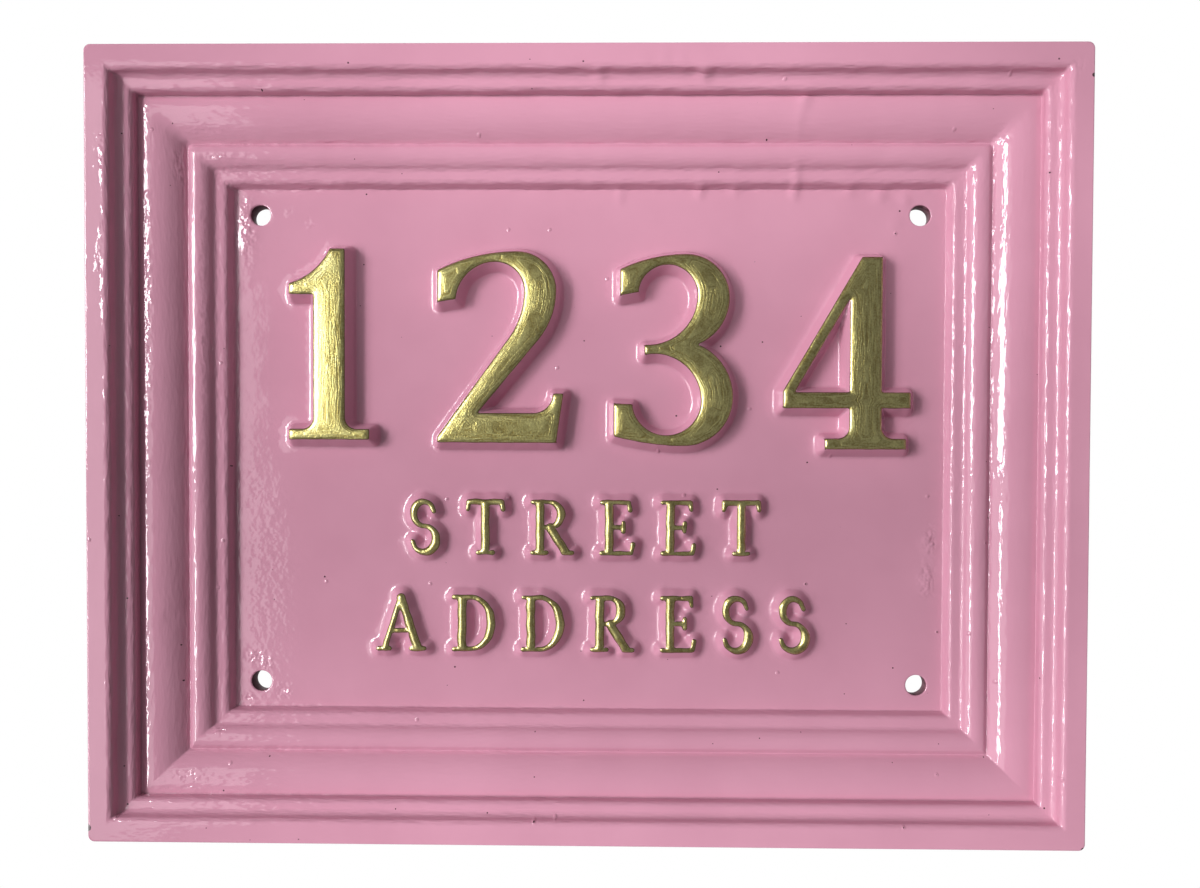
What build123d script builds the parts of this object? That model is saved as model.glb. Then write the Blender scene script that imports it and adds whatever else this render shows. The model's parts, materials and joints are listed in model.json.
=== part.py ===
from build123d import *
import os
from math import asin, degrees, radians, sqrt, tan

# A house number plaque, cast in one piece: a moulded frame with mitred corners and a relieved back,
# a sunk panel, raised figures with draft, and four screw holes drilled through the panel.
# It is drawn lying on its back, with x to the right, y up the plaque and z out of the wall,
# and stood up against the wall at the end. Lengths are in millimetres and angles in degrees.

# Outline of the flat back
PLAQUE_WIDTH = 254.0
PLAQUE_HEIGHT = 203.2
CORNER_RADIUS = 1.8
EDGE_DRAFT = 2.6
RIM_EDGE_RADIUS = 0.35

# Sunk panel
PANEL_THICKNESS = 4.0

# Frame moulding from the outline of the back inwards: how wide each member is and how far it falls
RIM_WIDTH = 6.95
COVE_WIDTH = 0.25
COVE_FALL = 3.4
COVE_RADIUS = 2.0
TREAD_WIDTH = 3.7
STEP_WIDTH = 0.15
STEP_FALL = 3.1
OVOLO_WIDTH = 10.95
OVOLO_FALL = 3.6
OVOLO_CROWN = 1.75
GROOVE_WIDTH = 1.1
BEAD_RISE = 1.2
BEAD_WIDTH = 4.7
BEAD_FALL = 1.2
BEAD_CROWN = 0.8
BEAD_STEP_WIDTH = 0.5
BEAD_STEP_FALL = 1.1
SIGHT_WIDTH = 3.2
SIGHT_STEP_WIDTH = 1.0
SIGHT_STEP_FALL = 2.9
SOFT_EDGE = 1.5
SOFT_ROOT = 1.6

# Channel that relieves the back of the frame, so that the casting has about one thickness
SIDE_WALL = 5.0
FRAME_WALL = 4.0
CHANNEL_RADIUS = 1.5

# Screw holes, set in from the edges of the panel at each corner
HOLE_DIAMETER = 5.5
HOLE_INSET = 6.75

# Raised figures, measured on their faces
FIGURE_HEIGHT = 50.8
FIGURE_WIDTH = 32.0
FIGURE_STEM = 9.2
FIGURE_HAIRLINE = 3.6
FIGURE_BASE = 8.6
FIGURE_BAR = 5.0
FIGURE_FOOT = 22.0
FIGURE_BRACKET = 2.6
FIGURE_BEAK = 5.6
FIGURE_OVERHANG = 2.0
FIGURE_TUCK = 1.0
FIGURE_RISE = 5.0
FIGURE_DRAFT = 15.0
FIGURE_EASED_EDGE = 0.4
FIGURE_PITCH = 45.2
FIGURE_LINE_Y = 26.3
FIGURE_LINE_FALL = 0.7

# Levels above the back, from the panel up to the rim
SIGHT_LEVEL = PANEL_THICKNESS + SIGHT_STEP_FALL
BEAD_END_LEVEL = SIGHT_LEVEL + BEAD_STEP_FALL
BEAD_LEVEL = BEAD_END_LEVEL + BEAD_FALL
GROOVE_LEVEL = BEAD_LEVEL - BEAD_RISE
OVOLO_LEVEL = GROOVE_LEVEL + OVOLO_FALL
TREAD_LEVEL = OVOLO_LEVEL + STEP_FALL
RIM_LEVEL = TREAD_LEVEL + COVE_FALL

# Distances in from the outline of the back, from the rim to the panel
COVE_END = RIM_WIDTH + COVE_WIDTH
TREAD_END = COVE_END + TREAD_WIDTH
OVOLO_START = TREAD_END + STEP_WIDTH
OVOLO_END = OVOLO_START + OVOLO_WIDTH
BEAD_START = OVOLO_END + GROOVE_WIDTH
BEAD_END = BEAD_START + BEAD_WIDTH
SIGHT_START = BEAD_END + BEAD_STEP_WIDTH
SIGHT_END = SIGHT_START + SIGHT_WIDTH
FRAME_WIDTH = SIGHT_END + SIGHT_STEP_WIDTH
PANEL_WIDTH = PLAQUE_WIDTH - 2 * FRAME_WIDTH
PANEL_HEIGHT = PLAQUE_HEIGHT - 2 * FRAME_WIDTH

# Directions in which the arcs of the figures set out
LEFT = (-1, 0)
RIGHT = (1, 0)
UP = (0, 1)
DOWN = (0, -1)


def crowned(start, end, crown):
    """An arc from start to end that stands proud of the straight line by crown."""
    start = Vector(start)
    end = Vector(end)
    outward = (end - start).rotate(Axis.Z, 90).normalized()
    return ThreePointArc(start, (start + end) / 2 + outward * crown, end)


def frame_section():
    """Section of the frame, with x in from the plaque's edge and y up from its back."""
    channel_roof = OVOLO_LEVEL - FRAME_WALL
    with BuildSketch() as section:
        with BuildLine():
            Line((0, 0), (0, RIM_LEVEL))
            FilletPolyline(
                (0, RIM_LEVEL),
                (RIM_WIDTH, RIM_LEVEL),
                (COVE_END, TREAD_LEVEL),
                (TREAD_END, TREAD_LEVEL),
                (OVOLO_START, OVOLO_LEVEL),
                radius=[SOFT_EDGE, COVE_RADIUS, SOFT_EDGE],
            )
            crowned((OVOLO_START, OVOLO_LEVEL), (OVOLO_END, GROOVE_LEVEL), OVOLO_CROWN)
            Line((OVOLO_END, GROOVE_LEVEL), (BEAD_START, BEAD_LEVEL))
            crowned((BEAD_START, BEAD_LEVEL), (BEAD_END, BEAD_END_LEVEL), BEAD_CROWN)
            FilletPolyline(
                (BEAD_END, BEAD_END_LEVEL),
                (SIGHT_START, SIGHT_LEVEL),
                (SIGHT_END, SIGHT_LEVEL),
                (FRAME_WIDTH, PANEL_THICKNESS),
                radius=[SOFT_ROOT, SOFT_EDGE],
            )
            Polyline((FRAME_WIDTH, PANEL_THICKNESS), (FRAME_WIDTH, 0), (SIGHT_END, 0))
            FilletPolyline(
                (SIGHT_END, 0),
                (BEAD_END, GROOVE_LEVEL - FRAME_WALL),
                (OVOLO_END, GROOVE_LEVEL - FRAME_WALL),
                (OVOLO_START + OVOLO_WIDTH / 3, channel_roof),
                (SIDE_WALL + channel_roof * tan(radians(EDGE_DRAFT)), channel_roof),
                (SIDE_WALL, 0),
                radius=CHANNEL_RADIUS,
            )
            Line((SIDE_WALL, 0), (0, 0))
        make_face()
    return section.sketch


def frame():
    """The section carried round the plaque's outline, with mitred corners."""
    left_edge = Plane(origin=(-PLAQUE_WIDTH / 2, 0, 0), x_dir=(1, 0, 0), z_dir=(0, -1, 0))
    outline = Rectangle(PLAQUE_WIDTH, PLAQUE_HEIGHT).wire()
    return sweep(left_edge * frame_section(), outline, transition=Transition.RIGHT)


def panel():
    """The sunk panel inside the frame."""
    return extrude(Rectangle(PANEL_WIDTH, PANEL_HEIGHT), amount=PANEL_THICKNESS)


def blank():
    """The block that the frame's outside is trimmed to, with drafted sides and eased corners."""
    outline = RectangleRounded(PLAQUE_WIDTH, PLAQUE_HEIGHT, CORNER_RADIUS)
    block = extrude(outline, amount=RIM_LEVEL, taper=EDGE_DRAFT)
    return fillet(block.faces().sort_by(Axis.Z)[-1].edges(), RIM_EDGE_RADIUS)


def foot(middle):
    """Draws a stem's flat foot, with a bracket on each side, and returns where the stem leaves it."""
    half_stem = FIGURE_STEM / 2
    half_foot = FIGURE_FOOT / 2
    stem_start = FIGURE_HAIRLINE + 2 * FIGURE_BRACKET
    for side in (-1, 1):
        FilletPolyline(
            (middle + side * half_stem, stem_start),
            (middle + side * half_stem, FIGURE_HAIRLINE),
            (middle + side * half_foot, FIGURE_HAIRLINE),
            radius=FIGURE_BRACKET,
        )
        Line((middle + side * half_foot, FIGURE_HAIRLINE), (middle + side * half_foot, 0))
    Line((middle - half_foot, 0), (middle + half_foot, 0))
    return stem_start


def touch_point(point, centre, radius):
    """Where a line from a point below a circle touches the circle's right side."""
    reach = centre - point
    swing = degrees(asin(radius / reach.length))
    length = sqrt(reach.length**2 - radius**2)
    return point + reach.normalized().rotate(Axis.Z, -swing) * length


def figure_one():
    """A stem on a foot, with a flag that sweeps down to the left of its head."""
    middle = FIGURE_FOOT / 2
    left = middle - FIGURE_STEM / 2
    right = middle + FIGURE_STEM / 2
    flag_top = 0.82 * FIGURE_HEIGHT
    flag_foot = flag_top - FIGURE_HAIRLINE
    flag_sweep = (1, 0.25)
    with BuildSketch() as face:
        with BuildLine():
            stem_start = foot(middle)
            Polyline((right, stem_start), (right, FIGURE_HEIGHT), (middle, FIGURE_HEIGHT))
            TangentArc((0, flag_top), (middle, FIGURE_HEIGHT), tangent=flag_sweep)
            Polyline((0, flag_top), (0, flag_foot), (left, flag_foot), (left, stem_start))
        make_face()
    return face.face()


def figure_two():
    """A bowl whose diagonals run down, tangent to it, to a flat base with a raised heel."""
    bowl_radius = 0.21 * FIGURE_HEIGHT
    counter_radius = 0.14 * FIGURE_HEIGHT
    bend_radius = 0.4 * FIGURE_HEIGHT
    counter = FIGURE_WIDTH - FIGURE_STEM
    crown = (FIGURE_WIDTH - bowl_radius, FIGURE_HEIGHT)
    side = (FIGURE_WIDTH, FIGURE_HEIGHT - bowl_radius)
    inner_crown = (counter - counter_radius, FIGURE_HEIGHT - FIGURE_HAIRLINE)
    inner_side = (counter, FIGURE_HEIGHT - FIGURE_HAIRLINE - counter_radius)
    beak_top = (0, 0.9 * FIGURE_HEIGHT)
    beak_foot = (0, 0.72 * FIGURE_HEIGHT)
    beak_inner = (FIGURE_BEAK, 0.74 * FIGURE_HEIGHT)
    crotch = Vector(0.37 * FIGURE_WIDTH, FIGURE_BASE)
    base_end = (0.8 * FIGURE_WIDTH, FIGURE_BASE)
    toe = Vector(0, 0.04 * FIGURE_HEIGHT)
    outer_bend = touch_point(crotch, Vector(side[0] - bend_radius, side[1]), bend_radius)
    inner_bend = touch_point(toe, Vector(counter - bend_radius, inner_side[1]), bend_radius)
    heel_right = FIGURE_WIDTH + FIGURE_OVERHANG
    heel_left = heel_right - FIGURE_HAIRLINE
    heel_top = 0.27 * FIGURE_HEIGHT
    with BuildSketch() as face:
        with BuildLine():
            TangentArc(crown, beak_top, tangent=LEFT)
            TangentArc(crown, side, tangent=RIGHT)
            TangentArc(side, outer_bend, tangent=DOWN)
            Polyline(outer_bend, crotch, base_end)
            TangentArc(base_end, (heel_left, heel_top), tangent=RIGHT)
            Polyline((heel_left, heel_top), (heel_right, heel_top), (FIGURE_WIDTH, 0), (0, 0), toe)
            Line(toe, inner_bend)
            TangentArc(inner_side, inner_bend, tangent=DOWN)
            TangentArc(inner_side, inner_crown, tangent=UP)
            TangentArc(inner_crown, beak_inner, tangent=LEFT)
            Polyline(beak_inner, beak_foot, beak_top)
        make_face()
    return face.face()


def figure_three():
    """Two bowls that meet in a notch and an arm, each with a blunt beak."""
    upper_side = FIGURE_WIDTH - FIGURE_TUCK
    upper_radius = 0.23 * FIGURE_HEIGHT
    lower_radius = 0.26 * FIGURE_HEIGHT
    upper_counter = upper_side - FIGURE_STEM
    lower_counter = FIGURE_WIDTH - FIGURE_STEM
    upper_counter_radius = 0.146 * FIGURE_HEIGHT
    lower_counter_radius = 0.17 * FIGURE_HEIGHT
    notch = (0.73 * FIGURE_WIDTH, 0.53 * FIGURE_HEIGHT)
    arm_foot = (0.25 * FIGURE_WIDTH, 0.465 * FIGURE_HEIGHT)
    arm_top = (arm_foot[0], arm_foot[1] + FIGURE_HAIRLINE)
    crown = (upper_side - upper_radius, FIGURE_HEIGHT)
    upper_flank = (upper_side, FIGURE_HEIGHT - upper_radius)
    lower_flank = (FIGURE_WIDTH, lower_radius)
    bottom = (FIGURE_WIDTH - lower_radius, 0)
    inner_crown = (upper_counter - upper_counter_radius, FIGURE_HEIGHT - FIGURE_HAIRLINE)
    upper_inner_flank = (upper_counter, FIGURE_HEIGHT - FIGURE_HAIRLINE - upper_counter_radius)
    lower_inner_flank = (lower_counter, FIGURE_HAIRLINE + lower_counter_radius)
    inner_bottom = (lower_counter - lower_counter_radius, FIGURE_HAIRLINE)
    upper_beak = 0.05 * FIGURE_WIDTH
    beak_top = (upper_beak, 0.92 * FIGURE_HEIGHT)
    beak_foot = (upper_beak, 0.77 * FIGURE_HEIGHT)
    beak_inner = (upper_beak + FIGURE_BEAK, 0.79 * FIGURE_HEIGHT)
    tail_foot = (0, 0.05 * FIGURE_HEIGHT)
    tail_top = (0, 0.235 * FIGURE_HEIGHT)
    tail_inner = (FIGURE_BEAK, 0.23 * FIGURE_HEIGHT)
    with BuildSketch() as face:
        with BuildLine():
            TangentArc(crown, beak_top, tangent=LEFT)
            TangentArc(crown, upper_flank, tangent=RIGHT)
            TangentArc(upper_flank, notch, tangent=DOWN)
            TangentArc(lower_flank, notch, tangent=UP)
            TangentArc(lower_flank, bottom, tangent=DOWN)
            TangentArc(bottom, tail_foot, tangent=LEFT)
            Polyline(tail_foot, tail_top, tail_inner)
            TangentArc(inner_bottom, tail_inner, tangent=LEFT)
            TangentArc(inner_bottom, lower_inner_flank, tangent=RIGHT)
            TangentArc(lower_inner_flank, arm_foot, tangent=UP)
            Line(arm_foot, arm_top)
            TangentArc(upper_inner_flank, arm_top, tangent=DOWN)
            TangentArc(upper_inner_flank, inner_crown, tangent=UP)
            TangentArc(inner_crown, beak_inner, tangent=LEFT)
            Polyline(beak_inner, beak_foot, beak_top)
        make_face()
    return face.face()


def figure_four():
    """A stem on a foot, crossed by a bar, with a thin diagonal from its head to the bar's left end."""
    left = 0.54 * FIGURE_WIDTH
    right = left + FIGURE_STEM
    head = 0.65 * FIGURE_STEM
    bar_foot = 0.21 * FIGURE_HEIGHT
    bar_top = bar_foot + FIGURE_BAR
    bar_end = FIGURE_WIDTH + FIGURE_OVERHANG
    peak = Vector(right - head, FIGURE_HEIGHT)
    corner = Vector(0, bar_top)
    along = (peak - corner).normalized()
    inner = corner + along.rotate(Axis.Z, -90) * FIGURE_HAIRLINE
    counter_left = inner + along * ((bar_top - inner.Y) / along.Y)
    counter_top = inner + along * ((left - inner.X) / along.X)
    with BuildSketch() as face:
        with BuildLine():
            stem_start = foot(left + FIGURE_STEM / 2)
            Polyline((right, stem_start), (right, bar_foot), (bar_end, bar_foot), (bar_end, bar_top))
            Polyline((bar_end, bar_top), (right, bar_top), (right, FIGURE_HEIGHT), peak, corner)
            Polyline(corner, (0, bar_foot), (left, bar_foot), (left, stem_start))
        make_face()
        with BuildLine():
            Polyline(counter_left, (left, bar_top), counter_top, close=True)
        make_face(mode=Mode.SUBTRACT)
    return face.face()


def raised(face):
    """A figure that spreads from its eased face, at z = 0, down to its foot on the panel."""
    prism = extrude(face, amount=-FIGURE_RISE)
    body = draft(prism.faces().filter_by(Axis.Z, reverse=True), Plane.XY, FIGURE_DRAFT)
    return chamfer(body.faces().sort_by(Axis.Z)[-1].edges(), FIGURE_EASED_EDGE)


def figures():
    """The line of figures, evenly spaced about the panel's middle and falling a little to the right."""
    makers = [figure_one, figure_two, figure_three, figure_four]
    placed = []
    for count, make in enumerate(makers):
        steps = count - (len(makers) - 1) / 2
        body = raised(make())
        middle = body.bounding_box().center()
        x = steps * FIGURE_PITCH - middle.X
        y = FIGURE_LINE_Y - steps * FIGURE_LINE_FALL - FIGURE_HEIGHT / 2
        placed.append(Pos(x, y, PANEL_THICKNESS + FIGURE_RISE) * body)
    return placed


def screw_holes():
    """Drills through the panel, one in each corner."""
    drill = Cylinder(HOLE_DIAMETER / 2, PANEL_THICKNESS, align=(Align.CENTER, Align.CENTER, Align.MIN))
    corners = GridLocations(PANEL_WIDTH - 2 * HOLE_INSET, PANEL_HEIGHT - 2 * HOLE_INSET, 2, 2)
    return [corner * drill for corner in corners]


casting = blank() & (frame() + panel())
plaque = casting + figures() - screw_holes()

os.makedirs("parts", exist_ok=True)
export_step(Plane.XZ * plaque, "parts/plaque.step")
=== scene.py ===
import json
import math

import bmesh
import bpy
import numpy as np
from mathutils import Euler, Matrix, Vector, noise
from mathutils.bvhtree import BVHTree
from mathutils.geometry import delaunay_2d_cdt


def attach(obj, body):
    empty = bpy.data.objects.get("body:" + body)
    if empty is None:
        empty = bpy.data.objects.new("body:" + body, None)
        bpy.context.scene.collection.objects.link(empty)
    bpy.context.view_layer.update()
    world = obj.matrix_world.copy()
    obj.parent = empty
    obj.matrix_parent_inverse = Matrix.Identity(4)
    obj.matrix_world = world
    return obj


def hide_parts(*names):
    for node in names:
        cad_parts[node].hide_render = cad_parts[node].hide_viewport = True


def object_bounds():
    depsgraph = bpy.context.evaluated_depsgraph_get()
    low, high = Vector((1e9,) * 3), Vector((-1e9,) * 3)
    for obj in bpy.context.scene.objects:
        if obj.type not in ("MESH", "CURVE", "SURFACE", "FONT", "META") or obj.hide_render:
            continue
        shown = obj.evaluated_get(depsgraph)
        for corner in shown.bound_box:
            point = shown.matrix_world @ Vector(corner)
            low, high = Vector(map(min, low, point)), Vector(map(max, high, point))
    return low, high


# A cast house number plaque in glossy pink enamel. Its raised figures and letters are gilded by brush.
# The plaque is one closed mesh: a ring of moulding, and a panel whose relief follows the distance from
# each figure's and letter's edge. Lengths are in millimetres until the mesh is written, in metres.

MM = 0.001

# Rays at the solid: how far off they start, their ways, a bare spot of the panel as (x, z), and how near
# to the panel's height counts as panel
FRONT_RAY = 100.0
SIDE_RAY = 200.0
INTO_WALL = (0, 1, 0)
OUT_OF_WALL = (0, -1, 0)
RIGHTWARDS = (1, 0, 0)
BARE_SPOT = (0.0, -10.0)
LEVEL_TOLERANCE = 0.001

# Moulding: where its section is measured, how fine it is kept, and how the coat of paint softens it
SECTION_STEP = 0.05
SCAN_START = 0.8
SCAN_END = 60.0
RIM_START = 1.2
SIDE_TOP = 0.02
SIDE_FOOT = 0.3
FOOT_POINTS = [(0.05, 0.12), (0.3, 0.0)]
BACK_START = 0.6
PANEL_MARGIN = 1.2
SECTION_TOLERANCE = 0.013
BACK_TOLERANCE = 0.2
PAINT_SOFTNESS = 0.15
SOFTNESS_REACH = 4
LONG_FLAT = 2.6
FLAT_ENDS = (0.1, 0.6, 1.2)
EDGE_REACH = 0.3
EDGE_TURN = 0.6

# Outline: spacing of the stations round it, and its corners as (inset, radius above, radius below)
STATION_SPACING = 2.4
TOP_SPACING = 1.2
TOP_TURN = 180
CORNER_STATIONS = 6
CORNER_RADII = [
    (0.0, 1.8, 1.8), (5.0, 0.7, 0.5), (12.0, 0.8, 0.3),
    (17.0, 2.4, 0.4), (22.0, 1.3, 0.4), (33.0, 1.0, 0.5),
]

# Panel: fineness of the fields that give its relief, and how the mesh's points are spread over it
FIELD_PITCH = 0.25
FAR = 9.0
SHORT_OF_LAST = 1.001
CONTOUR_SPACING = 0.66
LEAST_POINTS = 4
OPEN_SPACING = 1.8
FACE_SPACING = 2.2
SAG_SPACING = 0.9
SAG_REACH = 5.0
BACK_SPACING = 6.0
ROW_SHARE = 0.87
FRONT_INSET = 0.8
BACK_INSET = 3.0
MERGE_DISTANCE = 1e-5

# Screw holes: sides of the circle, then what lies past its radius: eased edge, opening in the mesh, ring
# of points, and clear space on the front and on the back
HOLE_SEGMENTS = 36
HOLE_EDGE = 0.2
HOLE_OPEN = 0.18
HOLE_RING = 0.5
HOLE_CLEAR = 1.0
BACK_HOLE_CLEAR = 2.0

# Faces of the figures on the solid: how they face, how high they lie, how far past the holes, and the
# decimals by which their corners are matched
FACE_FACING = -0.99
FACE_RISE = 1.0
FACE_BEYOND = 3.0
FACE_DECIMALS = 3

# Relief as (distance out from the edge of the face, height above the panel)
FIGURE_PROFILE = [
    (-4.0, 5.08), (-2.4, 5.03), (-1.4, 4.96), (-0.7, 4.86), (-0.25, 4.69), (0.0, 4.45), (0.2, 4.0),
    (0.6, 3.1), (1.2, 1.7), (1.55, 0.8), (1.75, 0.38), (1.95, 0.2), (2.4, 0.07), (2.7, 0.0),
]
LETTER_PROFILE = [
    (-1.2, 2.98), (-0.85, 2.88), (-0.55, 2.73), (-0.25, 2.52), (0.0, 2.3), (0.35, 1.92),
    (0.9, 1.3), (1.45, 0.65), (1.75, 0.33), (1.95, 0.2), (2.4, 0.07), (2.7, 0.0),
]

# Two lines of small raised letters: text, height of the capitals, middle and baseline of the line
LETTER_LINES = [("STREET", 14.6, -0.5, -27.9), ("ADDRESS", 15.0, 1.5, -53.6)]
LETTER_GAP = 6.6
LETTER_REACH = 4.0
LETTER_WANDER = 0.22
WANDER_LENGTH = 2.5

# Strokes of a letter, on a cell one capital high: half widths of stems, hairlines, serifs and bows,
# heights of the lower and upper serifs, usual middle of a stem, and samples along a stroke
STEM = 0.079
THIN = 0.052
SERIF = 0.042
UPPER_BOW = 0.07
LOWER_BOW = 0.085
FOOT = 0.04
HEAD = 0.96
STEM_X = 0.14
LINE_SAMPLES = 40
BOW_SAMPLES = 60

# Materials in the order of their slots
ENAMEL, GILDING, BACK, HOLE = 0, 1, 2, 3

# How uneven the brushed paint lies on the frame's flats, where its edges have 1, how much calmer it is low
# on the right, and the radius of the circle that stands for the way round the frame
FLAT_RIPPLE = 0.03
OUTER_EDGE = 2.5
CALM_BELOW = 0.45
ROUND_RADIUS = 42.0

# Roughness of the dried paint: its share on the frame, and at the foot of the relief
FRAME_ROUGHNESS = 0.7
FOOT_ROUGHNESS = 0.1
FOOT_START, FOOT_END = 1.7, 2.9

# Patches where the paint dried rough: place on the front, half lengths across and up, and strength
ROUGH_PATCHES = [
    (-121.9, 73.0, 0.7, 5.0, 0.8), (-121.9, 45.0, 0.7, 12.0, 0.6), (-106.4, 73.0, 0.9, 5.0, 1.0),
    (-113.9, 40.0, 1.1, 42.0, 0.75), (-114.4, -55.0, 0.9, 15.0, 0.35), (-100.9, 35.0, 1.1, 38.0, 0.65),
    (-95.8, 35.0, 0.5, 30.0, 0.25), (-126.0, 30.0, 0.6, 60.0, 0.12), (-91.3, 58.5, 2.4, 8.5, 1.0),
    (-80.0, 63.0, 1.2, 1.2, 0.5), (-74.5, 59.8, 1.4, 1.4, 0.5), (-99.5, 82.4, 5.0, 0.8, 0.9),
    (-96.0, 76.0, 6.0, 1.0, 0.7), (-94.0, 72.8, 3.5, 1.2, 0.7), (-94.5, 69.5, 3.0, 1.2, 0.8),
    (-89.5, -55.8, 2.4, 1.6, 1.4), (-86.0, -57.5, 1.6, 1.6, 1.4), (-81.5, -65.2, 1.8, 1.4, 1.2),
    (-91.5, -67.5, 2.2, 1.6, 1.4), (-104.0, -85.4, 5.0, 0.9, 1.4), (-106.0, -88.5, 8.0, 0.6, 1.0),
    (-97.0, -74.5, 2.0, 1.0, 1.2), (-84.0, -35.0, 7.0, 28.0, 0.14), (91.4, -23.5, 1.6, 3.5, 1.4),
    (90.4, -34.0, 1.8, 4.0, 1.4), (106.5, 80.5, 2.4, 2.4, 0.6), (98.5, 72.2, 2.0, 2.0, 0.6),
    (93.5, 68.4, 2.0, 2.0, 0.6), (117.0, 90.0, 2.0, 2.0, 0.5), (122.0, 95.0, 2.0, 2.0, 0.5),
]

# Unevenness of the paint: how far it swells and sinks, over what length, on the frame, on the panel and
# where it hangs, with a smaller swell on the first, and which ways of facing it leaves out
WOBBLE_LENGTH = 6.0
FRAME_WOBBLE = 0.1
PANEL_WOBBLE = 0.02
SAG = 0.17
SAG_LENGTH = 3.2
SMALL_SWELL = 0.4
SMALL_LENGTH = 0.45
BACK_FACING = 0.5
LUMP_FACING = 0.1

# Runs and lumps in the paint: place on the front, half lengths across and up, and height
LUMPS = [
    (17.3, 97.0, 1.0, 2.8, -0.12), (21.8, 97.0, 1.2, 2.6, -0.14), (26.6, 97.0, 1.0, 2.4, -0.12),
    (29.9, 93.8, 1.4, 1.5, 0.7), (3.5, 93.5, 1.2, 1.2, 0.5), (55.8, 89.3, 1.4, 1.4, 0.6),
    (54.4, 84.4, 1.1, 3.6, 0.22), (54.5, 72.3, 1.1, 2.4, 0.35), (35.0, 80.0, 1.4, 1.0, 0.15),
    (29.5, 68.6, 1.1, 1.7, 0.5), (54.5, 68.4, 1.1, 1.9, 0.55), (8.3, 67.7, 1.1, 2.0, 0.3),
    (38.8, 68.5, 1.0, 1.2, 0.35), (69.1, 68.5, 1.8, 1.2, 0.35), (77.1, 67.7, 1.6, 1.8, 0.45),
    (83.7, 66.4, 1.4, 1.8, 0.35), (81.1, 59.8, 1.6, 3.2, 0.25), (90.8, -24.8, 1.2, 2.4, 0.5),
    (90.2, -34.5, 1.2, 2.8, 0.5), (-91.3, 58.5, 2.6, 9.0, 0.38), (-108.1, -44.6, 1.0, 1.0, -0.45),
]

# Enamel: gloss, colours and their clouds as (turns to the metre, detail), then each relief of its surface
# as (turns to the metre, detail, depth in metres)
ENAMEL_ROUGHNESS = 0.035
ENAMEL_IOR = 1.55
ENAMEL_CLOUDS = (45, 3)
ENAMEL_RANGE = (0.3, 0.7)
ENAMEL_COLOURS = ((0.612, 0.28, 0.385), (0.653, 0.305, 0.416))
BRUSH_MARKS = (850, 1, 0.00034)
ROUGH_LUMPS = (600, 1, 0.0007)
ORANGE_PEEL = (260, 2, 0.00002)
FINE_PEEL = (900, 1, 0.000008)

# Specks of dirt and pimples in the enamel, each in a cell of its own, and chips as (x, z, radius) in metres
SPECK_COLOUR = (0.07, 0.03, 0.04)
SPECKS_PER_METRE = 85.0
SPECK_SIZE = 0.055
SPECK_SHARE = 0.62
PIMPLE_SIZE = 0.05
PIMPLE_SHARE = 0.86
PIMPLE_DEPTH = 0.00015
FRONT_FACING = -0.3
CHIPS = [(-0.1262, -0.0972, 0.0009), (0.1256, -0.1004, 0.0005), (0.1259, 0.0925, 0.0005)]

# Gold paint: gloss, colours, its streaks and speckle as (turns to the metre, detail) with their shares and
# depth, how much finer the streaks are across the stroke, how far they stray, and the painted shade along
# its edge
GOLD_ROUGHNESS = 0.34
COAT_ROUGHNESS = 0.15
COAT_IOR = 1.65
GOLD_RANGE = (0.38, 0.62)
GOLD_COLOURS = ((0.27, 0.212, 0.053), (0.59, 0.54, 0.212))
GOLD_STREAKS = (180, 5)
GOLD_SPECKLE = (2200, 2)
STREAK_SHARE = 0.65
SPECKLE_SHARE = 0.35
GOLD_DEPTH = 0.00018
BRUSH_FINENESS = 0.018
BRUSH_STRAY = 0.9
STRAY_GRAIN = (300, 1)
EDGE_SHADE_REACH = (0.1, 0.3)
EDGE_SHADE_COLOUR = (0.16, 0.11, 0.03)

# The back, where the enamel lies thin and dull, and the walls of the screw holes, coloured dark as painted
# shade
BACK_ROUGHNESS = 0.5
BACK_GRAIN = (1500, 3)
BACK_RANGE = (0.3, 0.7)
BACK_COLOURS = ((0.50, 0.22, 0.32), (0.60, 0.27, 0.39))
BACK_DEPTH = 0.0002
HOLE_ROUGHNESS = 0.7
HOLE_SPECULAR = 0.2
HOLE_GRAIN = (600, 2)
HOLE_RANGE = (0.35, 0.65)
HOLE_SHADE_COLOURS = ((0.09, 0.03, 0.045), (0.2, 0.085, 0.11))

# Camera: where it stands in front of the plaque, and how it points
CAMERA_PLACE = (16.2, -238.1, -11.4)
CAMERA_PITCH = 0.0169
CAMERA_YAW = 0.0132
CAMERA_ROLL = 0.0043
CAMERA_LENS = 26.31
CAMERA_SHIFT = (-0.0307, 0.0533)
CAMERA_CLIP = 0.01

# Studio, in metres: the floor, the room's dim light, and what gloss mirrors of the room before the plaque
FLOOR_PLACE = (0, 0.1, -1.4)
FLOOR_SIZE = 1.8
FLOOR_COLOUR = (0.85, 0.85, 0.85, 1)
FLOOR_ROUGHNESS = 0.8
FILL = 0.07
FRONT_SHEEN = 0.25
SHEEN_TURN = 0.1

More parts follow.
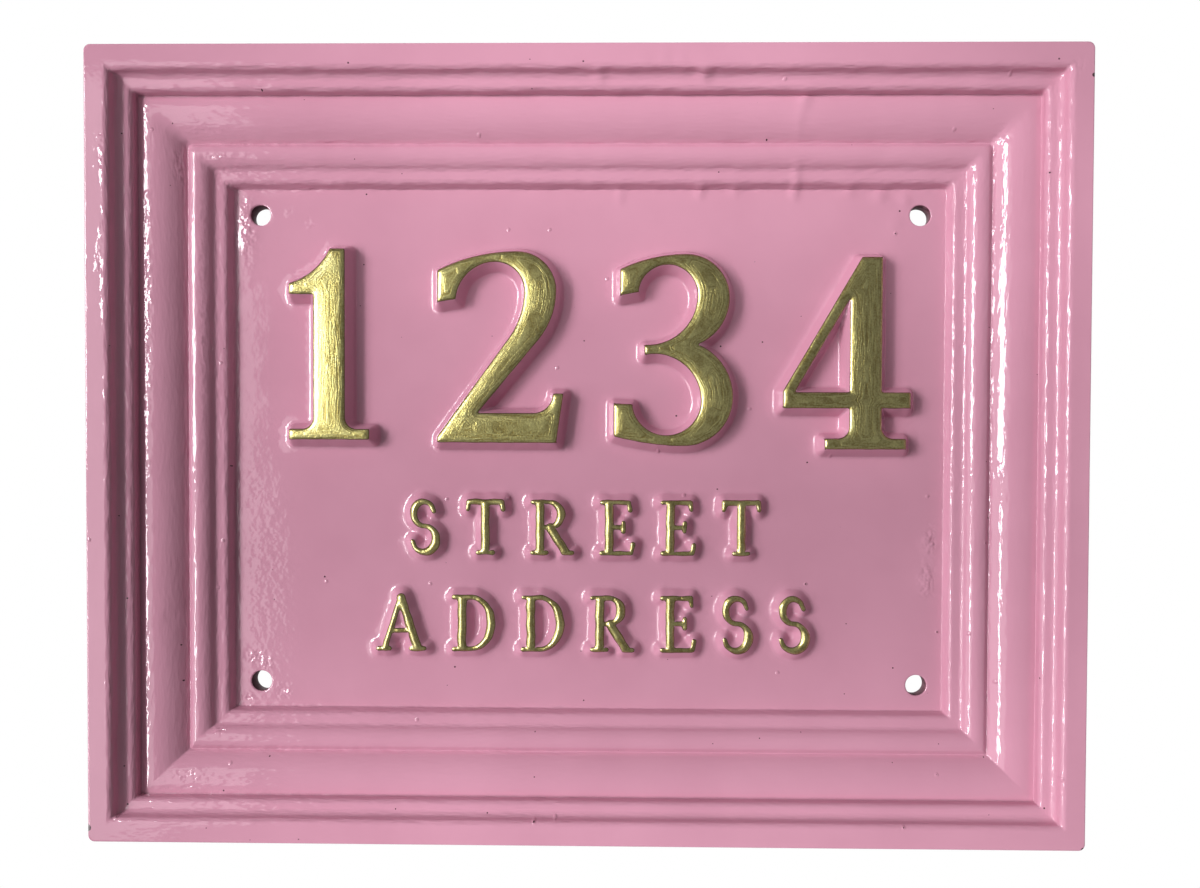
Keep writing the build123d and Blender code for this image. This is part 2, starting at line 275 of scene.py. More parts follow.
# Lights: a window of three panes in a pale wall on the left, a fill in front, strips above, below and on
# the right, and a light behind. Each is its name, place, aim, size, radiance, whether gloss mirrors it, and
# the degrees of its beam
OPEN_BEAM = 180
LIGHTS = [
    ("top_pane", (-1.134, -1.251, 0.618), (0, 0, 0.618), (0.25, 0.235), 18.4, True, OPEN_BEAM),
    ("upper_pane", (-1.22, -1.16, 0.273), (0, 0, 0.273), (0.5, 0.455), 18.4, True, OPEN_BEAM),
    ("lower_pane", (-1.16, -1.215, -0.33), (0, 0, -0.33), (0.14, 0.6), 19, True, OPEN_BEAM),
    ("wall", (-1.58, -1.23, 0.05), (0, 0, 0.05), (1.95, 1.7), 1.55, True, OPEN_BEAM),
    ("front_fill", (-0.35, -1.3, 0.2), (0, 0, 0), (0.5, 0.5), 1.4, False, OPEN_BEAM),
    ("strip_above", (0.022, -0.25, 0.15), (0.022, 0, 0.092), (0.19, 0.05), 0.84, False, 42),
    ("strip_below", (0.03, -0.25, -0.165), (0.03, 0, -0.105), (0.24, 0.05), 0.55, False, 30),
    ("strip_right", (0.2, -0.25, 0), (0.137, 0, 0), (0.03, 0.16), 0.45, False, 14),
    ("behind", (-0.5, 1.3, 0.6), (0, 0, 0), (1.0, 1.0), 2, True, OPEN_BEAM),
]

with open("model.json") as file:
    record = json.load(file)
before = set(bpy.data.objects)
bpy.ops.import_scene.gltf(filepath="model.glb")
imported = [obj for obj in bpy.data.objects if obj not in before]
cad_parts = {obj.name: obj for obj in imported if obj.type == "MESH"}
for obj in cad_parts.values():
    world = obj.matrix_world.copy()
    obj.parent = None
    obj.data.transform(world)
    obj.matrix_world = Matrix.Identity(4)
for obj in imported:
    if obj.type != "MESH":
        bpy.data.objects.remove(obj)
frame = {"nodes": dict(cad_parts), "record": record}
cad_low, cad_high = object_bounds()
plaque_node = frame["nodes"]["plaque"]
mounts = {mount["name"]: mount for mount in frame["record"]["mounts"]}
HALF_WIDTH = cad_high.x / MM
HALF_HEIGHT = cad_high.z / MM
RIM_LEVEL = -cad_low.y / MM
HOLE_X = mounts["screw_holes"]["dims"]["spacing_x_mm"] / 2
HOLE_Z = mounts["screw_holes"]["dims"]["spacing_y_mm"] / 2
HOLE_RADIUS = mounts["screw_holes"]["dims"]["hole_r_mm"]
HOLES = [(x, z) for x in (-HOLE_X, HOLE_X) for z in (-HOLE_Z, HOLE_Z)]


def solid_tree():
    """The part's solid, for casting rays at it."""
    return BVHTree.FromObject(plaque_node, bpy.context.evaluated_depsgraph_get())


def hit(tree, start, direction):
    """Where a ray meets the solid, in millimetres, or None."""
    place = tree.ray_cast(Vector(start) * MM, Vector(direction))[0]
    return place / MM if place else None


def bell(distance, width):
    """A share that falls from 1 with distance."""
    return np.exp(-0.5 * (distance / width) ** 2)


def softened(points):
    """A line of points with its corners rounded by the coat of paint, and its ends kept."""
    along = np.concatenate([[0], np.cumsum(np.hypot(*np.diff(points, axis=0).T))])
    even = np.arange(0, along[-1], SECTION_STEP)
    reach = int(SOFTNESS_REACH * PAINT_SOFTNESS / SECTION_STEP)
    weights = bell(np.arange(-reach, reach + 1) * SECTION_STEP, PAINT_SOFTNESS)
    columns = []
    for values in points.T:
        padded = np.pad(np.interp(even, along, values), reach, mode="reflect", reflect_type="odd")
        columns.append(np.convolve(padded, weights / weights.sum(), mode="valid"))
    return np.vstack([points[:1], np.column_stack(columns)[1:-1], points[-1:]])


def simplified(points, tolerance):
    """The points that a line needs to stay within the tolerance."""
    start, end = points[0], points[-1]
    along = end - start
    offsets = np.abs(along[0] * (points[:, 1] - start[1]) - along[1] * (points[:, 0] - start[0]))
    offsets = offsets / np.hypot(*along)
    worst = int(np.argmax(offsets))
    if offsets[worst] <= tolerance:
        return [start, end]
    return simplified(points[:worst + 1], tolerance)[:-1] + simplified(points[worst:], tolerance)


def supported(points):
    """A line with points added near the ends of its long flats, so that they shade flat."""
    whole = [points[0]]
    for start, end in zip(points, points[1:]):
        along = end - start
        length = np.hypot(*along)
        if length > LONG_FLAT:
            whole.extend(start + along * reach / length for reach in FLAT_ENDS)
            whole.extend(end - along * reach / length for reach in reversed(FLAT_ENDS))
        whole.append(end)
    return whole


def edge_share(points):
    """How sharply a line turns near each of its points, from 0 on a flat to 1 at an edge."""
    steps = np.diff(points, axis=0)
    along = np.concatenate([[0], np.cumsum(np.hypot(*steps.T))])
    turns = np.abs(np.diff(np.unwrap(np.arctan2(steps[:, 1], steps[:, 0]))))
    nearness = bell(along[:, None] - along[None, 1:-1], EDGE_REACH)
    return np.clip(nearness @ turns / EDGE_TURN, 0, 1)


def panel_level(tree):
    """Height of the panel above the back."""
    return -hit(tree, (BARE_SPOT[0], -FRONT_RAY, BARE_SPOT[1]), INTO_WALL).y


def front_line(tree):
    """The front of the moulding from the rim in, as (in from the edge, height), and where it ends."""
    insets = np.arange(SCAN_START, SCAN_END, SECTION_STEP)
    fronts = np.array([-hit(tree, (a - HALF_WIDTH, -FRONT_RAY, 0), INTO_WALL).y for a in insets])
    on_panel = np.abs(fronts - panel_level(tree)) < LEVEL_TOLERANCE
    inner = insets[np.argmax(on_panel)] + PANEL_MARGIN
    kept = (insets > RIM_START) & (insets <= inner)
    return softened(np.column_stack([insets, fronts])[kept]), inner


def side_line(tree):
    """The outer side of the frame from the rim down to its foot, as (in from the edge, height)."""
    heights = np.arange(RIM_LEVEL - SIDE_TOP, SIDE_FOOT, -SECTION_STEP)
    sides = np.array([hit(tree, (-SIDE_RAY, -h, 0), RIGHTWARDS).x + HALF_WIDTH for h in heights])
    return np.column_stack([sides, heights])


def back_line(tree, inner):
    """The back of the frame from its foot in, as (in from the edge, height)."""
    insets = np.arange(BACK_START, inner, SECTION_STEP)
    backs = np.array([-hit(tree, (a - HALF_WIDTH, FRONT_RAY, 0), OUT_OF_WALL).y for a in insets])
    return softened(np.vstack([np.column_stack([insets, backs]), [[inner, 0.0]]]))


def frame_section(tree):
    """The moulding's section from the panel's front, over the rim and round the back.

    Also gives how many of its points show, and how far in the frame ends."""
    front, inner = front_line(tree)
    side = side_line(tree)
    back = back_line(tree, inner)
    shown = supported(simplified(front[::-1], SECTION_TOLERANCE) + simplified(side, SECTION_TOLERANCE))
    hidden = FOOT_POINTS + simplified(back, BACK_TOLERANCE)
    return np.array(shown + hidden), len(shown), inner


def outline_stations():
    """Stations round the outline: shares of its straight sides, and the way a corner's radius points."""
    stations = []
    sides = [(1, -1, 0), (1, 1, 90), (-1, 1, 180), (-1, -1, 270)]
    lengths = [2 * HALF_WIDTH, 2 * HALF_HEIGHT] * 2
    for (end_x, end_z, turn), length in zip(sides, lengths):
        spacing = TOP_SPACING if turn == TOP_TURN else STATION_SPACING
        normal = math.radians(turn - 90)
        for share in np.linspace(-1, 1, int(length / spacing)):
            x = share * math.cos(math.radians(turn)) + round(math.cos(normal))
            z = share * math.sin(math.radians(turn)) + round(math.sin(normal))
            stations.append((x, z, normal))
        for step in range(1, CORNER_STATIONS):
            stations.append((end_x, end_z, normal + step / CORNER_STATIONS * math.pi / 2))
    return np.array(stations)


def round_share(x, z):
    """How far round the outline each of its points is, from 0 to 1."""
    steps = np.hypot(np.diff(x, append=x[0]), np.diff(z, append=z[0]))
    return np.concatenate([[0], np.cumsum(steps)[:-1]]) / steps.sum()


def ring(inset, stations):
    """The stations' places on the outline set in by this much."""
    insets, above, below = np.array(CORNER_RADII).T
    height = (stations[:, 1] + 1) / 2
    radius = height * np.interp(inset, insets, above) + (1 - height) * np.interp(inset, insets, below)
    x = stations[:, 0] * (HALF_WIDTH - inset - radius) + radius * np.cos(stations[:, 2])
    z = stations[:, 1] * (HALF_HEIGHT - inset - radius) + radius * np.sin(stations[:, 2])
    return x, z


def face_loops(level):
    """Outlines of the figures' faces on the solid."""
    mesh = plaque_node.data
    mesh.calc_loop_triangles()
    reach_x, reach_z = HOLE_X + FACE_BEYOND, HOLE_Z + FACE_BEYOND
    edges = {}
    for triangle in mesh.loop_triangles:
        corners = [mesh.vertices[v].co / MM for v in triangle.vertices]
        raised = triangle.normal.y < FACE_FACING and all(-c.y > level + FACE_RISE for c in corners)
        if raised and all(abs(c.x) < reach_x and abs(c.z) < reach_z for c in corners):
            keys = [(round(c.x, FACE_DECIMALS), round(c.z, FACE_DECIMALS)) for c in corners]
            for start, end in zip(keys, keys[1:] + keys[:1]):
                edges[(start, end)] = True
    follow = {start: end for start, end in edges if (end, start) not in edges}
    loops = []
    while follow:
        start, here = follow.popitem()
        loop = [start]
        while here != start:
            loop.append(here)
            here = follow.pop(here)
        loops.append(np.array(loop))
    return loops


def field_window(low, high):
    """The slices of the field that cover a box, and the places of their samples."""
    start = [max(int((low[k] + FIELD_HALF[k]) / FIELD_PITCH), 0) for k in (0, 1)]
    end = [min(int((high[k] + FIELD_HALF[k]) / FIELD_PITCH) + 1, FIELD_SIZE[k]) for k in (0, 1)]
    x = np.arange(start[0], end[0]) * FIELD_PITCH - FIELD_HALF[0]
    z = np.arange(start[1], end[1]) * FIELD_PITCH - FIELD_HALF[1]
    grid_x, grid_z = np.meshgrid(x, z, indexing="ij")
    return (slice(start[0], end[0]), slice(start[1], end[1])), grid_x, grid_z


def figure_field(loops):
    """Distance out from the figures' edges, negative on their faces."""
    field = np.full(FIELD_SIZE, FAR)
    inside = np.zeros(FIELD_SIZE, bool)
    for loop in loops:
        window, x, z = field_window(loop.min(0) - FAR, loop.max(0) + FAR)
        for (x0, z0), (x1, z1) in zip(loop, np.roll(loop, -1, axis=0)):
            run, rise = x1 - x0, z1 - z0
            share = np.clip(((x - x0) * run + (z - z0) * rise) / (run**2 + rise**2), 0, 1)
            away = np.hypot(x - x0 - share * run, z - z0 - share * rise)
            field[window] = np.minimum(field[window], away)
            if z0 != z1:
                crossing = (z0 > z) != (z1 > z)
                inside[window] ^= crossing & (x < x0 + (z - z0) * run / rise)
    return np.where(inside, -field, field)


def line(x0, z0, x1, z1, start, end):
    """A straight stroke as (x, z, half width) samples."""
    share = np.linspace(0, 1, LINE_SAMPLES)
    x = x0 + share * (x1 - x0)
    z = z0 + share * (z1 - z0)
    return np.column_stack([x, z, start + share * (end - start)])


def bow(x, z, radius_x, radius_z, first, last, ends, middle):
    """A curved stroke along an ellipse, from the first to the last angle, swelling to its middle."""
    share = np.linspace(0, 1, BOW_SAMPLES)
    angle = np.radians(first + share * (last - first))
    width = ends + (middle - ends) * np.sin(share * math.pi) ** 2
    return np.column_stack([x + radius_x * np.cos(angle), z + radius_z * np.sin(angle), width])


def stem(x):
    """An upright thick stroke."""
    return line(x, STEM, x, 1 - STEM, STEM, STEM)


def arm(x0, z0, x1, z1):
    """A stroke as thin as a serif."""
    return line(x0, z0, x1, z1, SERIF, SERIF)


def serif(x, z, reach):
    """A flat serif across the end of a stem."""
    return arm(x - reach, z, x + reach, z)


def letter_a():
    """Two slanted stems, thin then thick, with a crossbar."""
    return [line(0.07, FOOT, 0.36, HEAD, THIN, THIN), line(0.36, 0.95, 0.645, STEM, STEM, STEM),
            arm(0.18, 0.36, 0.52, 0.36), serif(0.06, FOOT, 0.1), serif(0.66, FOOT, 0.12)]


def letter_d():
    """A stem with one full bowl."""
    return [stem(STEM_X), serif(0.1, FOOT, 0.1), serif(0.1, HEAD, 0.1),
            arm(STEM_X, HEAD, 0.3, HEAD), arm(STEM_X, FOOT, 0.3, FOOT),
            bow(0.3, 0.5, 0.36, 0.46, 90, -90, SERIF, STEM)]


def letter_e():
    """A stem with three arms, each ending in a small upright."""
    return [stem(STEM_X), serif(0.1, FOOT, 0.1), serif(0.1, HEAD, 0.1),
            arm(STEM_X, HEAD, 0.5, HEAD), arm(0.5, HEAD, 0.52, 0.82),
            arm(STEM_X, 0.51, 0.4, 0.51), arm(0.4, 0.43, 0.4, 0.59),
            arm(STEM_X, FOOT, 0.54, FOOT), arm(0.54, FOOT, 0.57, 0.2)]


def letter_r():
    """A stem with an upper bowl and a slanted leg."""
    return [stem(STEM_X), serif(0.13, FOOT, 0.13), serif(0.1, HEAD, 0.1),
            arm(STEM_X, HEAD, 0.3, HEAD), arm(STEM_X, 0.5, 0.3, 0.5),
            bow(0.3, 0.73, 0.22, 0.23, 90, -90, SERIF, STEM),
            line(0.32, 0.5, 0.59, STEM, STEM, STEM), serif(0.64, FOOT, 0.08)]


def letter_s():
    """Two bows that run into each other, with a short beak at each end."""
    return [bow(0.28, 0.74, 0.19, 0.22, 40, 270, SERIF, UPPER_BOW),
            bow(0.28, 0.28, 0.22, 0.24, 90, -140, SERIF, LOWER_BOW),
            arm(0.42, 0.88, 0.46, 0.78), arm(0.11, 0.12, 0.07, 0.24)]


def letter_t():
    """A stem under a bar with hanging ends."""
    return [stem(0.33), serif(0.33, FOOT, 0.13), line(0.03, HEAD, 0.63, HEAD, THIN, THIN),
            arm(0.03, HEAD, 0.01, 0.82), arm(0.63, HEAD, 0.65, 0.82)]


LETTERS = {"A": letter_a, "D": letter_d, "E": letter_e, "R": letter_r, "S": letter_s, "T": letter_t}


def line_of_letters(text, height, middle, baseline):
    """The letters of a line, spaced evenly about its middle, each an array of (x, z, half width)."""
    glyphs = [np.vstack(LETTERS[name]()) * height for name in text]
    lows = [(glyph[:, 0] - glyph[:, 2]).min() for glyph in glyphs]
    widths = [(glyph[:, 0] + glyph[:, 2]).max() - low for glyph, low in zip(glyphs, lows)]
    start = middle - (sum(widths) + LETTER_GAP * (len(text) - 1)) / 2
    placed = []
    for glyph, low, width in zip(glyphs, lows, widths):
        placed.append(glyph + [start - low, baseline, 0])
        start = start + width + LETTER_GAP
    return placed


def letter_field():
    """Distance out from the letters' strokes, negative on them."""
    field = np.full(FIELD_SIZE, FAR)
    for text, height, middle, baseline in LETTER_LINES:
        for glyph in line_of_letters(text, height, middle, baseline):
            for x0, z0, half_width in glyph:
                reach = half_width + LETTER_REACH
                window, x, z = field_window((x0 - reach, z0 - reach), (x0 + reach, z0 + reach))
                field[window] = np.minimum(field[window], np.hypot(x - x0, z - z0) - half_width)
    return field + wander(field, LETTER_WANDER)


def wander(field, reach):
    """How far a hand-painted edge strays, near the edges of a field."""
    stray = np.zeros(FIELD_SIZE)
    for i, j in np.argwhere(np.abs(field) < FAR / 2):
        place = Vector((i * FIELD_PITCH, j * FIELD_PITCH, 0))
        stray[i, j] = reach * noise.noise(place / WANDER_LENGTH)
    return stray


def crossed_links(above):
    """For each pair of neighbouring samples that a level runs between, the pairs that it runs on to."""
    corners = np.stack([above[:-1, :-1], above[1:, :-1], above[1:, 1:], above[:-1, 1:]])
    links = {}
    for i, j in np.argwhere(corners.any(0) & ~corners.all(0)):
        rim = [(i, j), (i + 1, j), (i + 1, j + 1), (i, j + 1)]
        crossed = []
        for start, end in zip(rim, rim[1:] + rim[:1]):
            if above[start] != above[end]:
                crossed.append((start, end) if start < end else (end, start))
        for a, b in zip(crossed[::2], crossed[1::2]):
            links.setdefault(a, []).append(b)
            links.setdefault(b, []).append(a)
    return links


def contours(field, level):
    """Closed lines along which a field crosses a level, evenly spaced."""
    links = crossed_links(field > level)
    loops = []
    while links:
        start = next(iter(links))
        chain = [start]
        here = links.pop(start)[0]
        previous = start
        while here != start:
            chain.append(here)
            neighbours = links.pop(here)
            onward = neighbours[1] if neighbours[0] == previous else neighbours[0]
            previous, here = here, onward
        loops.append(spaced(np.array([crossing_point(field, level, edge) for edge in chain])))
    return [loop for loop in loops if len(loop) >= LEAST_POINTS]


def crossing_point(field, level, edge):
    """Where the level lies between two neighbouring samples."""
    start, end = edge
    share = (level - field[start]) / (field[end] - field[start])
    place = np.array(start) + share * (np.array(end) - np.array(start))
    return place * FIELD_PITCH - np.array(FIELD_HALF)


def spaced(points):
    """A closed line's points spread evenly along it."""
    closed = np.vstack([points, points[:1]])
    lengths = np.hypot(*np.diff(closed, axis=0).T)
    along = np.concatenate([[0], np.cumsum(lengths)])
    count = int(round(along[-1] / CONTOUR_SPACING))
    wanted = np.arange(count) * along[-1] / max(count, 1)
    return np.column_stack([np.interp(wanted, along, values) for values in closed.T])


def sampled(field, x, z):
    """A field's values between its samples."""
    i = np.clip((x + FIELD_HALF[0]) / FIELD_PITCH, 0, FIELD_SIZE[0] - SHORT_OF_LAST)
    j = np.clip((z + FIELD_HALF[1]) / FIELD_PITCH, 0, FIELD_SIZE[1] - SHORT_OF_LAST)
    i0, j0 = i.astype(int), j.astype(int)
    u, v = i - i0, j - j0
    low = field[i0, j0] * (1 - u) + field[i0 + 1, j0] * u
    high = field[i0, j0 + 1] * (1 - u) + field[i0 + 1, j0 + 1] * u
    return low * (1 - v) + high * v


def profile_height(profile, distance):
    """Height above the panel at a distance out from an edge."""
    reach, height = np.array(profile).T
    return np.interp(distance, reach, height)


def open_points(spacing, inset):
    """Points in staggered rows over the panel, set in from its edges."""
    half_x, half_z = FIELD_HALF[0] - inset, FIELD_HALF[1] - inset
    points = []
    for count, z in enumerate(np.arange(-half_z, half_z, spacing * ROW_SHARE)):
        start = -half_x + (count % 2) * spacing / 2
        points.extend((x, z) for x in np.arange(start, half_x, spacing))
    return np.array(points)


def hole_distance(x, z):
    """Distance out from the middle of the nearest screw hole."""
    return np.min([np.hypot(x - hole_x, z - hole_z) for hole_x, hole_z in HOLES], axis=0)


def circle(middle, radius):
    """Points round a screw hole."""
    angle = np.arange(HOLE_SEGMENTS) / HOLE_SEGMENTS * 2 * math.pi
    return np.column_stack([middle[0] + radius * np.cos(angle), middle[1] + radius * np.sin(angle)])


def triangulated(loops, loose):
    """Triangles over all the points, with the loops as edges and the screw holes open.

    Gives the points, the triangles, and the place of each given point among them."""
    points = np.vstack(loops + [loose])
    edges = []
    start = 0
    for loop in loops:
        count = len(loop)
        edges.extend((start + k, start + (k + 1) % count) for k in range(count))
        start = start + count
    found = delaunay_2d_cdt([Vector(p) for p in points], edges, [], 0, MERGE_DISTANCE)
    places = np.array([tuple(v) for v in found[0]])
    triangles = np.array(found[2])
    middles = places[triangles].mean(1)
    triangles = triangles[hole_distance(*middles.T) > HOLE_RADIUS + HOLE_OPEN]
    order = np.zeros(len(points), int)
    for index, given in enumerate(found[3]):
        for one in given:
            order[one] = index
    return places, triangles, order


tree = solid_tree()
PANEL_LEVEL = panel_level(tree)
section, front_count, FRAME_INSET = frame_section(tree)
stations = outline_stations()
FIELD_HALF = (HALF_WIDTH - FRAME_INSET, HALF_HEIGHT - FRAME_INSET)
FIELD_SIZE = tuple(int(2 * half / FIELD_PITCH) + 1 for half in FIELD_HALF)
figures = figure_field(face_loops(PANEL_LEVEL))
letters = letter_field()
paint_edge = np.minimum(figures, letters)


def panel_front(boundary):
    """Points, triangles and boundary order of the panel's relief."""
    loops = [boundary]
    for past in (HOLE_EDGE, HOLE_RING):
        loops.extend(circle(hole, HOLE_RADIUS + past) for hole in HOLES)
    for profile, field in ((FIGURE_PROFILE, figures), (LETTER_PROFILE, letters)):
        for level, _ in profile:
            loops.extend(contours(field, level))
    loose = open_points(OPEN_SPACING, FRONT_INSET)
    sags = open_points(SAG_SPACING, FRONT_INSET)
    sag_start = FIELD_HALF[1] - SAG_REACH
    loose = np.vstack([loose[loose[:, 1] < sag_start - SAG_SPACING], sags[sags[:, 1] >= sag_start]])
    off_relief = sampled(paint_edge, *loose.T) > FIGURE_PROFILE[-1][0] + CONTOUR_SPACING
    loose = loose[off_relief & (hole_distance(*loose.T) > HOLE_RADIUS + HOLE_CLEAR)]
    faces = open_points(FACE_SPACING, FRONT_INSET)
    faces = faces[sampled(figures, *faces.T) < FIGURE_PROFILE[0][0] - CONTOUR_SPACING]
    return triangulated(loops, np.vstack([loose, faces]))


def panel_back(boundary):
    """Points, triangles and boundary order of the panel's flat back."""
    loops = [boundary] + [circle(hole, HOLE_RADIUS + HOLE_EDGE) for hole in HOLES]
    loose = open_points(BACK_SPACING, BACK_INSET)
    return triangulated(loops, loose[hole_distance(*loose.T) > HOLE_RADIUS + BACK_HOLE_CLEAR])


class Shell:
    """Vertices and faces of the plaque as they are gathered."""

    def __init__(self):
        self.places = []
        self.faces = []
        self.materials = []
        self.values = {"edge_distance": [], "ripple": [], "rough": []}
        self.brushed = []

    def add_points(self, x, height, z, distance, ripple=0.0, brushed=(0, 0, 0), rough=0.0):
        """Adds points and gives their numbers."""
        first = len(self.places)
        self.places.extend(zip(x, np.broadcast_to(-height, len(x)), z))
        for name, value in (("edge_distance", distance), ("ripple", ripple), ("rough", rough)):
            self.values[name].extend(np.broadcast_to(value, len(x)))
        self.brushed.extend(np.broadcast_to(brushed, (len(x), 3)))
        return np.arange(first, len(self.places))

    def add_faces(self, faces, material):
        """Adds faces of one material, or of one for each face."""
        self.faces.extend(tuple(int(v) for v in face) for face in faces)
        self.materials.extend(np.broadcast_to(material, len(faces)).tolist())

    def add_band(self, lower, upper, material):
        """Adds the faces between two closed rows of points."""
        rows = zip(lower, np.roll(lower, -1), np.roll(upper, -1), upper)
        self.add_faces(list(rows), material)


def spot(x, z, row):
    """A soft spot at places on the front, as (middle x, middle z, half x, half z, strength)."""
    middle_x, middle_z, half_x, half_z, strength = row
    away = ((x - middle_x) / half_x) ** 2 + ((z - middle_z) / half_z) ** 2
    return strength * np.exp(-away)


def patch_share(x, z):
    """How rough the paint is at places on the front."""
    share = np.zeros(len(x))
    for row in ROUGH_PATCHES:
        share = np.maximum(share, spot(x, z, row))
    return share


def lump_height(x, z):
    """Height of the runs and lumps at places on the front."""
    height = np.zeros(len(x))
    for row in LUMPS:
        height = height + spot(x, z, row)
    return height


def panel_roughness(x, z, distance):
    """How rough the paint is on the panel, with the foot of the relief included."""
    foot = FOOT_ROUGHNESS * ((distance > FOOT_START) & (distance < FOOT_END))
    return np.maximum(patch_share(x, z), foot)


def add_frame(shell):
    """Adds the ring of moulding and gives its rows of points at the panel's front and back."""
    rows = []
    angle = 2 * math.pi * round_share(*ring(0, stations))
    along = ROUND_RADIUS * np.column_stack([np.cos(angle), np.sin(angle)])
    ripples = np.maximum(edge_share(section), FLAT_RIPPLE)
    ripples[section[:, 0] < OUTER_EDGE] = FLAT_RIPPLE
    for count, ((inset, height), ripple) in enumerate(zip(section, ripples)):
        x, z = ring(inset, stations)
        calm = np.where(x > 0, np.interp(z, (-HALF_HEIGHT, HALF_HEIGHT), (CALM_BELOW, 1)), 1)
        patches = patch_share(x, z) if count else np.zeros(len(x))
        ripple = np.maximum(ripple * calm, patches)
        brushed = np.column_stack([along, np.full(len(x), inset - height)])
        rows.append(shell.add_points(x, height, z, FAR, ripple, brushed, FRAME_ROUGHNESS * patches))
    for count, (lower, upper) in enumerate(zip(rows, rows[1:])):
        shell.add_band(lower, upper, ENAMEL if count < front_count else BACK)
    return rows[0], rows[-1]


def add_panel(shell, places, triangles, order, row, height, distance, material):
    """Adds one side of the panel, sewn to the frame's row, and gives the rows round its holes."""
    numbers = np.full(len(places), -1)
    numbers[order[:len(row)]] = row
    new = numbers < 0
    x, z = places[new].T
    rough = panel_roughness(x, z, distance[new])
    numbers[new] = shell.add_points(x, height[new], z, distance[new], rough=rough)
    shell.add_faces(numbers[triangles], material)
    starts = len(row) + np.arange(len(HOLES)) * HOLE_SEGMENTS
    return [numbers[order[start:start + HOLE_SEGMENTS]] for start in starts]


def add_hole(shell, hole, front_row, back_row):
    """Adds a screw hole's wall, with its edges eased by the paint."""
    x, z = circle(hole, HOLE_RADIUS).T
    front = shell.add_points(x, PANEL_LEVEL - HOLE_EDGE, z, FAR)
    back = shell.add_points(x, HOLE_EDGE, z, FAR)
    shell.add_band(front_row, front, ENAMEL)
    shell.add_band(front, back, HOLE)
    shell.add_band(back, back_row, HOLE)


def plaque_shell():
    """The whole plaque: frame, panel front and back, and holes."""
    shell = Shell()
    front_row, back_row = add_frame(shell)
    boundary = np.column_stack(ring(FRAME_INSET, stations))
    places, triangles, order = panel_front(boundary)
    figure_distance = sampled(figures, *places.T)
    letter_distance = sampled(letters, *places.T)
    relief = np.maximum(profile_height(FIGURE_PROFILE, figure_distance),
                        profile_height(LETTER_PROFILE, letter_distance))
    height = PANEL_LEVEL + relief
    distance = np.minimum(figure_distance, letter_distance)
    gilded = sampled(paint_edge, *places[triangles].mean(1).T) < 0
    material = np.where(gilded, GILDING, ENAMEL)
    fronts = add_panel(shell, places, triangles, order, front_row, height, distance, material)
    places, triangles, order = panel_back(boundary)
    flat = np.zeros(len(places))
    backs = add_panel(shell, places, triangles, order, back_row, flat, flat + FAR, BACK)
    for hole, front, back in zip(HOLES, fronts, backs):
        add_hole(shell, hole, front, back)
    return shell


def plaque_mesh(shell):
    """The gathered shell as a smooth closed mesh."""
    mesh = bpy.data.meshes.new("plaque_shell")
    mesh.from_pydata((np.array(shell.places) * MM).tolist(), [], shell.faces)
    mesh.polygons.foreach_set("material_index", shell.materials)
    mesh.polygons.foreach_set("use_smooth", [True] * len(shell.faces))
    for name, values in shell.values.items():
        attribute = mesh.attributes.new(name, "FLOAT", "POINT")
        attribute.data.foreach_set("value", np.array(values, np.float32))
    brushed = mesh.attributes.new("brushed", "FLOAT_VECTOR", "POINT")
    brushed.data.foreach_set("vector", (np.array(shell.brushed, np.float32) * MM).ravel())
    work = bmesh.new()
    work.from_mesh(mesh)
    bmesh.ops.recalc_face_normals(work, faces=work.faces)
    work.to_mesh(mesh)
    work.free()
    return mesh


def wobble(place, length):
    """A swell of about -1 to 1 that turns over about the length."""
    small = noise.noise(place / (SMALL_LENGTH * length))
    return noise.noise(place / length) + SMALL_SWELL * small


def lay_paint(mesh):
    """Moves the front's points as the uneven paint lies, keeping them inside the solid's box."""
    count = len(mesh.vertices)
    places = np.zeros(count * 3)
    normals = np.zeros(count * 3)
    ripple = np.zeros(count)
    mesh.vertices.foreach_get("co", places)
    mesh.vertex_normals.foreach_get("vector", normals)
    mesh.attributes["ripple"].data.foreach_get("value", ripple)
    places = places.reshape(-1, 3) / MM
    normals = normals.reshape(-1, 3)
    x, z = places[:, 0], places[:, 2]
    on_panel = (np.abs(x) < FIELD_HALF[0]) & (np.abs(z) < FIELD_HALF[1])
    hanging = np.where(z > 0, np.clip(-normals[:, 2], 0, 1) ** 2, 0)
    reach = np.where(on_panel, PANEL_WOBBLE, FRAME_WOBBLE * ripple)
    swell = reach * np.array([wobble(Vector(place), WOBBLE_LENGTH) for place in places])
    swell = swell + SAG * hanging * np.array([wobble(Vector(place), SAG_LENGTH) for place in places])
    swell[normals[:, 1] > BACK_FACING] = 0
    lumps = np.where(normals[:, 1] < LUMP_FACING, lump_height(x, z), 0)
    places = places + normals * (swell + lumps)[:, None]
    places = np.clip(places, np.array(cad_low) / MM, np.array(cad_high) / MM)
    mesh.vertices.foreach_set("co", (places * MM).ravel())
    mesh.update()


mesh = plaque_mesh(plaque_shell())
lay_paint(mesh)
plaque = bpy.data.objects.new("enamelled_plaque", mesh)
bpy.context.scene.collection.objects.link(plaque)


